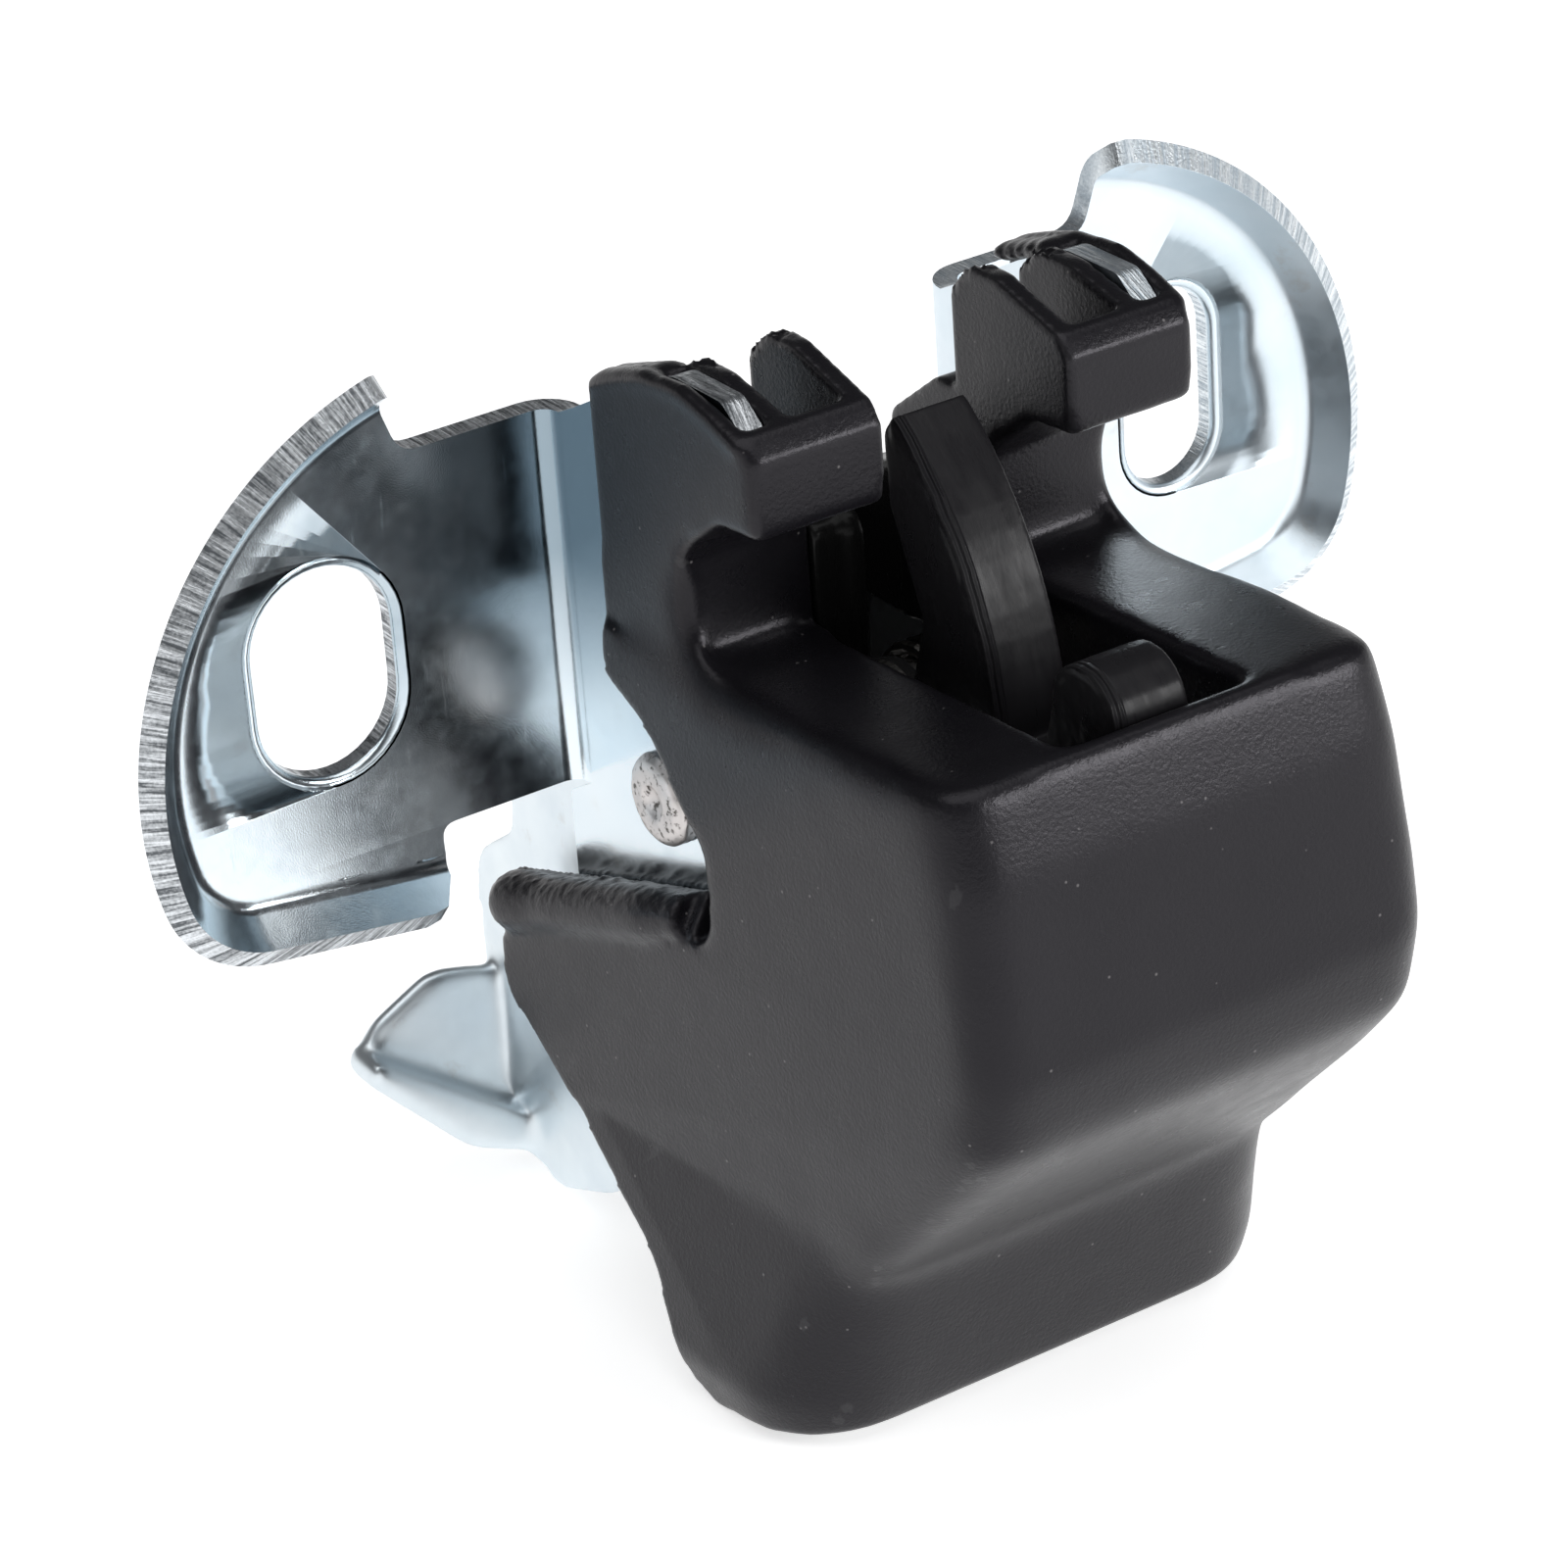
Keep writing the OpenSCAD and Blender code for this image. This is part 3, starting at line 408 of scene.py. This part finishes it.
# Shroud. One black moulding that covers the mechanism: a deep nose, a flared skirt with a turned-in
# lip, a rolled bead along the top of each flank, and finned caps over the two steel horns. It keeps
# the moulder's soft edges, a fine spark-eroded grain, flash along the parting lines and some dust.
bead_front = (22.0, -20.4, -20.2)
bead_tilt = math.radians(19.2)
bead_fall = 0.348
bead_flare = 0.04
bead_length = 29.0
bead_radius = 2.35
bead_rings, bead_sides = 48, 24
flash_lumps = (8.5, 12.6, 14.4, 16.0, 17.2, 21.5)
slot_skin = (-16.4, -15.0, -13.6, -12.2, -10.8)
cap_rim = [(-9.4, 21.2), (-12.6, 22.7), (-16.5, 24.0), (-21.8, 24.6), (-25.6, 23.8), (-29.0, 22.7)]
cap_raise = 2.6


def fine_copy(node, name, voxel, more=None):
    """A fine even mesh over a node's form, and over the forms that more() adds to it, as a new object"""
    piece = bpy.data.objects.new(name, nodes[node].data.copy())
    bpy.context.collection.objects.link(piece)
    piece.data.materials.clear()
    if more is not None:
        forms = bmesh.new()
        forms.from_mesh(piece.data)
        more(forms)
        forms.to_mesh(piece.data)
        forms.free()
    remesh = piece.modifiers.new("even", "REMESH")
    remesh.mode = "VOXEL"
    remesh.voxel_size = voxel * mm
    take_modifiers(piece)
    return piece


def take_modifiers(piece):
    graph = bpy.context.evaluated_depsgraph_get()
    mesh = bpy.data.meshes.new_from_object(piece.evaluated_get(graph))
    piece.modifiers.clear()
    piece.data = mesh


def points_of(mesh):
    flat = np.empty(len(mesh.vertices) * 3)
    mesh.vertices.foreach_get("co", flat)
    return flat.reshape(-1, 3) / mm


def set_points(mesh, points):
    mesh.vertices.foreach_set("co", (points * mm).ravel())
    mesh.update()


def folded(points):
    """Distance from the middle plane, y and z of each point"""
    return np.abs(points[:, 0]), points[:, 1], points[:, 2]


def rub(mesh, rounds, share=None):
    """Rounds the edges of a fine mesh. share says how much a point takes part, from its distance to
    the middle plane, its y and its z"""
    points = points_of(mesh)
    ends = np.empty(len(mesh.edges) * 2, dtype=np.int32)
    mesh.edges.foreach_get("vertices", ends)
    a, b = ends[0::2], ends[1::2]
    part = np.ones(len(points)) if share is None else share(*folded(points))
    active = part > 0.002
    used = active[a] | active[b]
    near_ones = np.zeros(len(points), dtype=bool)
    near_ones[a[used]] = near_ones[b[used]] = True
    old = np.nonzero(near_ones)[0]
    new = np.empty(len(points), dtype=np.int64)
    new[old] = np.arange(len(old))
    a, b = new[a[used]], new[b[used]]
    count, part = len(old), np.where(active[old], part[old], 0)
    near = np.bincount(a, minlength=count) + np.bincount(b, minlength=count)
    for k in range(3):
        line = points[old, k]
        for _ in range(rounds):
            total = np.bincount(a, line[b], count) + np.bincount(b, line[a], count)
            line = line + 0.5 * part * (total / near - line)
        points[old, k] = line
    set_points(mesh, points)


def thin_out(piece, share):
    """Takes out the points that a flat or gently curved face doesn't need"""
    fewer = piece.modifiers.new("fewer", "DECIMATE")
    fewer.ratio = share
    take_modifiers(piece)
    piece.data.shade_smooth()


def step(value, low, high):
    t = np.clip((value - low) / (high - low), 0, 1)
    return t * t * (3 - 2 * t)


def ball(forms, centre, sizes):
    made = bmesh.ops.create_icosphere(forms, subdivisions=2, radius=1.0)
    for v in made["verts"]:
        v.co = Vector([centre[k] + v.co[k] * sizes[k] for k in range(3)]) * mm


def bead_spot(side, along, out, up):
    """Point on the rolled bead, measured back from the front end of the flank's shelf"""
    x, y, z = bead_front
    return Vector((side * (x + bead_flare * along + out),
                   y + along * math.cos(bead_tilt) + up * math.sin(bead_tilt),
                   z - along * math.sin(bead_tilt) + up * math.cos(bead_tilt)))


def bead_ring(forms, side, along):
    """One ring of the bead: thinner at its front end, thicker towards the back and closed round there"""
    size = bead_radius * (1 + 0.10 * step(along, 22, 27) - 0.2 * step(7 - along, 0, 6))
    size *= math.sqrt(max(0.02, 1 - max(0, (along - 27.6) / 2.65) ** 2))
    size += 0.10 * noise.noise(Vector((side * 3, along * 0.2, 2)))
    centre = bead_spot(side, along, -1.0, 0.7)
    ring = []
    for a in np.linspace(0, 2 * math.pi, bead_sides + 1)[:-1]:
        out = Vector((math.cos(a) * size, 0.33 * math.sin(a) * size, 0.94 * math.sin(a) * size))
        ring.append(forms.verts.new((centre + out) * mm))
    return ring


def rolled_edges(forms):
    """On each side: the bead, lumps of flash on it, the skin over the back of the slot between the
    fins, and the thick outer rim of the cap"""
    draw = random.Random(7)
    for side in (-1, 1):
        rings = [bead_ring(forms, side, 1.2 + bead_length * k / bead_rings) for k in range(bead_rings + 1)]
        for one, two in zip(rings, rings[1:]):
            for i in range(bead_sides):
                j = (i + 1) % bead_sides
                forms.faces.new([one[i], one[j], two[j], two[i]][::-side])
        forms.faces.new(rings[0][::side])
        forms.faces.new(rings[-1][::-side])
        for along in flash_lumps:
            big = draw.uniform(0.6, 1.15)
            ball(forms, bead_spot(side, along, -2.0, 2.4 + 0.2 * big),
                 (0.6, big * draw.uniform(0.9, 1.5), 0.8 * big))
        for back in slot_skin:
            ball(forms, (side * 17.8, back, 22.9 - 0.36 * (back + 13.6)), (1.9, 1.5, 0.7))
        for (y0, z0), (y1, z1) in zip(cap_rim, cap_rim[1:]):
            for t in np.linspace(0, 1, 9):
                ball(forms, (side * 19.75, y0 + (y1 - y0) * t, z0 + (z1 - z0) * t), (0.85, 1.0, 0.85))
    bmesh.ops.recalc_face_normals(forms, faces=forms.faces)


# Places where the moulding is softer than its solids, as the share that a point takes in the rubbing,
# from its distance to the middle plane, its y and its z in mm
def nose_foot(x, y, z):
    """Slope under the nose and its run into the lip; its side edges stay crisp down to the lip"""
    return (step(-y, 30, 34) * step(-z, 18, 27) * (1 - step(-z, 54, 60))
            * (1 - step(x, 14, 19) * step(z, -50, -40)))


def cap_recess(x, y, z):
    """Recess between each cap and the nose's top"""
    return (step(-y, 18, 20.5) * (1 - step(-y, 31, 37)) * (1 - step(z, 7.5, 10)) * step(z, -7, -3)
            * step(x, 9.2, 10.5))


def nose_turn(x, y, z):
    """Turn from the nose's front into the slope under it, with its corners"""
    return step(-y, 38, 44) * step(-z, 16, 24) * (1 - step(-z, 36, 44))


def flank_under_cap(x, y, z):
    """Flank where it runs up into the cap's side"""
    return step(x, 18.5, 20) * step(z, -3, 0) * (1 - step(z, 7, 10)) * step(-y, 10, 13)


def nose(x, y, z):
    """Everything in front of the webs, below the caps"""
    return step(-y, 21, 24) * (1 - step(z, 9, 12))


def nose_brow(x, y, z):
    """Edges round the nose's top, at its front and its sides"""
    return (step(-y, 40, 46) * (1 - step(z, 9, 12)) * step(z, -14, -8)
            * np.maximum(step(-y, 53, 54.5), step(x, 11, 13)))


def cap_side(x, y, z):
    """Outer side of each cap"""
    return step(x, 18.9, 19.7) * step(z, 6, 9) * (y < -5)


def cap_underside(x, y, z):
    """Front end and underside of each cap, where the striker passes"""
    return (x > 7) * step(z, 5, 7) * (1 - step(z, 16.5, 18)) * step(-y, 19, 21)


def near_bead(x, y, z):
    """Band round the rolled bead"""
    line = bead_front[2] - (y - bead_front[1]) * bead_fall
    return (x > 19) * step(y, -20, -18) * (np.abs(z - line) < 4.5)


def torn(points, push):
    """Small tears on the tips of the fins and round the bead"""
    for i in np.nonzero(push > 0.01)[0]:
        spot = Vector(points[i])
        lump = noise.noise(spot * 1.6) + 0.6 * noise.noise(spot * 3.3)
        points[i, 2] += push[i] * (lump - 0.1)
        points[i, 1] += 0.6 * push[i] * noise.noise(spot * 2.1 + Vector((9, 4, 2)))


shroud = fine_copy("shroud", "shroud_moulding", 0.33, rolled_edges)
points = points_of(shroud.data)
x, y, z = folded(points)
points[:, 2] += cap_raise * (x > 8) * (z > 11) * step(-y, 21.2, 26) * (1 - step(z, 14.2, 20.5))
set_points(shroud.data, points)
for rounds, softened in ((2, None), (170, nose_foot), (130, cap_recess), (90, nose_turn),
                         (70, flank_under_cap), (34, nose), (40, nose_brow), (14, cap_side),
                         (12, cap_underside), (5, near_bead)):
    rub(shroud.data, rounds, softened)
points = points_of(shroud.data)
x, y, z = folded(points)
fin_tips = (z > 22.5) * (1 - step(-y, 18.5, 21)) * (1 - step(x, 16, 16.6))
torn(points, 0.45 * fin_tips + 0.08 * near_bead(x, y, z))
points[:, 0] = np.clip(points[:, 0], -cad_box[1].x / mm, cad_box[1].x / mm)
points[:, 2] = np.minimum(points[:, 2], cad_box[1].z / mm - 0.02)
set_points(shroud.data, points)
thin_out(shroud, 0.3)

finish, tree, shader = new_finish("shroud_moulded_black")
where = place(tree)
edges = ramp(tree, put(tree, "NewGeometry", "Pointiness"), 0.52, 0.58)
clouds = grain(tree, where, 0.05, 4, 0.6)
base = mixed(tree, ramp(tree, clouds, 0.35, 0.7), (0.0058, 0.0054, 0.0070, 1), (0.0084, 0.0079, 0.0098, 1))
base = mixed(tree, sums(tree, "MULTIPLY", edges, 0.35), base, (0.05, 0.05, 0.052, 1))
specks = put(tree, "TexVoronoi", "Distance", Vector=where, Scale=0.4 / mm)
dust = ramp(tree, specks, 0.03, 0.06, 1.0, 0.0)
base = mixed(tree, sums(tree, "MULTIPLY", dust, 0.5), base, (0.22, 0.21, 0.21, 1))
rough = ramp(tree, grain(tree, where, 0.3, 5, 0.6), 0.3, 0.7, 0.25, 0.34)
normal = relief(tree, grain(tree, where, 2.8, 4, 0.6), 0.045, 0.9)
normal = relief(tree, grain(tree, where, 0.3, 2, 0.5), 0.04, 0.5, normal)
connect(tree, shader, Base_Color=base, Roughness=rough, Normal=normal)
shader.inputs["Specular IOR Level"].default_value = 0.27
shader.inputs["Specular Tint"].default_value = (0.96, 0.93, 1.0, 1)
shroud.data.materials.append(finish)
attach(shroud, "frame")
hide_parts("shroud")


# Claw. A steel fork plate that turns on the big pin, with a glossy black cover moulded over its arm
# and lobe. The cover takes the striker, so it is smooth and hard, with flow lines and rubbed edges.
def gloss_finish(name, colour, low_rough, high_rough, ridges=False):
    """Glossy black moulding with flow lines, and with fine mould ridges on its left face if asked for"""
    finish, tree, shader = new_finish(name)
    where = place(tree)
    streaks = grain(tree, stretched(tree, where, (1.0, 0.35, 0.2)), 0.9, 4, 0.6)
    edges = ramp(tree, put(tree, "NewGeometry", "Pointiness"), 0.53, 0.6)
    base = mixed(tree, sums(tree, "MULTIPLY", edges, 0.3), colour, (0.06, 0.06, 0.06, 1))
    rough = ramp(tree, streaks, 0.35, 0.7, low_rough, high_rough)
    normal = relief(tree, streaks, 0.06, 0.7)
    normal = relief(tree, grain(tree, where, 0.45, 2, 0.5), 0.06, 0.5, normal)
    if ridges:
        across = put(tree, "SeparateXYZ", "X", Vector=where)
        wobble = sums(tree, "MULTIPLY", grain(tree, where, 0.3, 2, 0.5), 0.5 * mm)
        way = sums(tree, "MULTIPLY", sums(tree, "ADD", across, wobble), 2 * math.pi / (0.62 * mm))
        side = sums(tree, "MULTIPLY", ramp(tree, across, -2.1 * mm, -2.4 * mm), sums(tree, "SINE", way))
        normal = relief(tree, side, 0.12, 1.0, normal)
    connect(tree, shader, Base_Color=base, Roughness=rough, Normal=normal)
    shader.inputs["Specular IOR Level"].default_value = 0.13
    return finish


cover_gloss = gloss_finish("claw_cover_gloss", (0.0125, 0.012, 0.0135, 1), 0.26, 0.42, True)
cover = fine_copy("claw_cover", "claw_cover_moulding", 0.22)
rub(cover.data, 9)
thin_out(cover, 0.3)
cover.data.materials.append(cover_gloss)
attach(cover, "claw")
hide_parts("claw_cover")


def repaint(node, finish):
    """A CAD node whose form is right keeps its mesh and takes this finish"""
    mesh = nodes[node].data
    mesh.materials.clear()
    mesh.materials.append(finish)


def steel_finish(name, colour, low_rough, high_rough, pits):
    """Bare machined steel with turning marks, small pits and a little dark oil in them"""
    finish, tree, shader = new_finish(name)
    where = place(tree)
    marks = grain(tree, stretched(tree, where, (3.0, 0.5, 0.5)), 1.1, 3, 0.6)
    pit = ramp(tree, grain(tree, where, 1.6, 4, 0.65), 0.36, 0.46)
    base = mixed(tree, pit, (0.10, 0.09, 0.08, 1), colour)
    rough = ramp(tree, marks, 0.3, 0.7, low_rough, high_rough)
    normal = relief(tree, marks, 0.02, 0.6)
    normal = relief(tree, pit, pits, 0.8, normal)
    connect(tree, shader, Base_Color=base, Metallic=1.0, Roughness=rough, Normal=normal)
    return finish


claw_steel = steel_finish("claw_hardened_steel", (0.46, 0.45, 0.43, 1), 0.30, 0.44, 0.01)
repaint("claw_plate", claw_steel)
repaint("pawl_plate", claw_steel)


# Pins, bushes and spacers. Turned from bar: the claw's big pin with a bush on each side of the claw,
# the pawl's thinner pin with riveted ends, its two spacer tubes, and the stop pin.
pawl_pin_y, pawl_pin_z = -14.2, -12.0
rivet_dent, rivet_dent_radius = 0.55, 1.5
pin_steel = steel_finish("turned_pin_steel", (0.52, 0.51, 0.49, 1), 0.26, 0.42, 0.015)
for node in ("claw_pin", "left_claw_bush", "right_claw_bush", "left_pawl_spacer", "right_pawl_spacer",
             "stop_pin"):
    repaint(node, pin_steel)
rivet = fine_copy("pawl_pin", "pawl_pin_riveted", 0.14)
rub(rivet.data, 5)
points = points_of(rivet.data)
end = np.abs(points[:, 0]).max()
from_axis = np.hypot(points[:, 1] - pawl_pin_y, points[:, 2] - pawl_pin_z)
dent = (end - np.abs(points[:, 0]) < 0.35) * np.clip(1 - (from_axis / rivet_dent_radius) ** 2, 0, 1)
points[:, 0] -= np.sign(points[:, 0]) * rivet_dent * dent
noise.seed_set(5)  # without a seed, noise_vector takes its offset from the clock
for i in np.nonzero(end - np.abs(points[:, 0]) < 1.6)[0]:
    points[i, 1:] += 0.10 * noise.noise_vector(Vector(points[i]) * 0.9).yz
set_points(rivet.data, points)
thin_out(rivet, 0.3)
rivet.data.materials.append(steel_finish("riveted_pin_steel", (0.62, 0.59, 0.58, 1), 0.36, 0.5, 0.03))
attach(rivet, "frame")
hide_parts("pawl_pin")


# Springs. Torsion coils of round oil-blackened wire on the claw's bush and on the pawl's spacers. One
# leg holds on to the frame and the other pushes a moving piece; each coil keeps its CAD form.
# The two numbers are the places along X, in mm, of the coil's pushed end and of its held end.
spring_wire = steel_finish("spring_wire_steel", (0.20, 0.19, 0.18, 1), 0.28, 0.40, 0.006)
for node, pushed, pushed_end, held_end in (("claw_spring", "claw", -5.4, -10.4),
                                           ("pawl_spring", "pawl", 4.6, 8.7),
                                           ("lever_spring", "lever", -13.1, -9.6)):
    coil = bpy.data.objects.new(node + "_coil", nodes[node].data.copy())
    bpy.context.collection.objects.link(coil)
    coil.data.materials.clear()
    coil.data.materials.append(spring_wire)
    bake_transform(coil)
    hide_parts(node)


# Small mouldings: the pawl's skin, the buffer that stops the striker, the lever's bush and the rubber
# sleeve on the stop pin.
repaint("pawl_cover", cover_gloss)
buffer = fine_copy("striker_buffer", "striker_buffer_moulding", 0.3)
rub(buffer.data, 6)
thin_out(buffer, 0.3)
buffer.data.materials.append(gloss_finish("buffer_rubber_gloss", (0.008, 0.008, 0.008, 1), 0.2, 0.34))
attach(buffer, "frame")
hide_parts("striker_buffer")
repaint("lever_bush", gloss_finish("lever_bush_black", (0.012, 0.012, 0.013, 1), 0.34, 0.5))
repaint("stop_sleeve", gloss_finish("stop_sleeve_rubber", (0.014, 0.014, 0.014, 1), 0.5, 0.65))


# Release lever and cross plate. Two stampings: the zinc-plated lever hangs inside the left web, with
# its tab bent outward for the cable or key rod and a flange folded up along its lower edge. The cross
# plate ties the webs together behind the claw; it is coloured black as painted shade, for the dark
# seen through the throat.
lever = fine_copy("release_lever", "release_lever_pressing", 0.27)
rub(lever.data, 6)
rub(lever.data, 46, lambda x, y, z: step(y, 15, 17) * (z < -38))
thin_out(lever, 0.3)
lever.data.materials.append(
    zinc_finish("lever_zinc_plating", (0.80, 0.86, 0.89, 1), (0.70, 0.77, 0.82, 1), 0.34, 0.46))
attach(lever, "lever")
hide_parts("release_lever")
repaint("cross_plate", gloss_finish("cross_plate_black_dip", (0.012, 0.012, 0.013, 1), 0.3, 0.45))


# Studio. A plain pale paper floor under the part, a white horizon that darkens upwards, a large softbox
# overhead and a smaller one low at the front right. The camera stands to the front left and above.
floor_half, floor_gap = 6.0, 0.0002
focal_pixels, picture_pixels, sensor_width = 5856, 1600, 36
camera_spot = Vector((-216.7, -351.2, 192.8))

level = cad_box[0].z - floor_gap
mesh = bpy.data.meshes.new("floor")
mesh.from_pydata([(floor_half * u, floor_half * v, level) for u, v in ((-1, -1), (1, -1), (1, 1), (-1, 1))],
                 [], [(0, 1, 2, 3)])
floor = bpy.data.objects.new("floor", mesh)
bpy.context.collection.objects.link(floor)
finish, tree, shader = new_finish("floor_paper")
shade = grain(tree, place(tree), 0.02, 3, 0.5)
paper = mixed(tree, shade, (0.93, 0.93, 0.93, 1), (0.96, 0.96, 0.96, 1))
connect(tree, shader, Base_Color=paper, Roughness=0.9, Emission_Color=(1, 1, 1, 1), Emission_Strength=0.64)
floor.data.materials.append(finish)

world = bpy.data.worlds.new("studio")
bpy.context.scene.world = world
world.use_nodes = True
tree = world.node_tree
height = put(tree, "SeparateXYZ", "Z", Vector=put(tree, "TexCoord", "Generated"))
dome = mixed(tree, ramp(tree, height, 0.02, 0.34), (1.0, 1.0, 1.0, 1), (0.09, 0.092, 0.096, 1))
tree.links.new(dome, tree.nodes["Background"].inputs["Color"])
tree.nodes["Background"].inputs["Strength"].default_value = 0.95


def softbox(name, spot, aim, size, power):
    light = bpy.data.lights.new(name, "AREA")
    light.shape = "RECTANGLE"
    light.size, light.size_y = size
    light.energy = power
    lamp = bpy.data.objects.new(name, light)
    bpy.context.collection.objects.link(lamp)
    lamp.location = spot
    lamp.rotation_euler = (Vector(aim) - Vector(spot)).to_track_quat("-Z", "Y").to_euler()


softbox("top_softbox", (-0.15, -0.3, 1.1), (0, -0.05, 0), (1.7, 1.2), 9.0)
softbox("front_softbox", (0.75, -1.1, 0.42), (0.12, -0.3, -0.05), (0.7, 0.35), 9.5)

azimuth, elevation, roll = math.radians(-31.67), math.radians(27.63), math.radians(-4.15)
back = Vector((math.sin(azimuth) * math.cos(elevation), -math.cos(azimuth) * math.cos(elevation),
               math.sin(elevation)))
level_right = Vector((math.cos(azimuth), math.sin(azimuth), 0))
level_up = back.cross(level_right)
right = level_right * math.cos(roll) + level_up * math.sin(roll)
up = level_up * math.cos(roll) - level_right * math.sin(roll)
camera = bpy.data.objects.new("camera", bpy.data.cameras.new("camera"))
bpy.context.collection.objects.link(camera)
camera.data.sensor_width = sensor_width
camera.data.lens = sensor_width * focal_pixels / picture_pixels
camera.matrix_world = Matrix((right, up, back)).transposed().to_4x4()
camera.location = camera_spot * mm
bpy.context.scene.camera = camera
bpy.context.scene.view_settings.view_transform = "Standard"
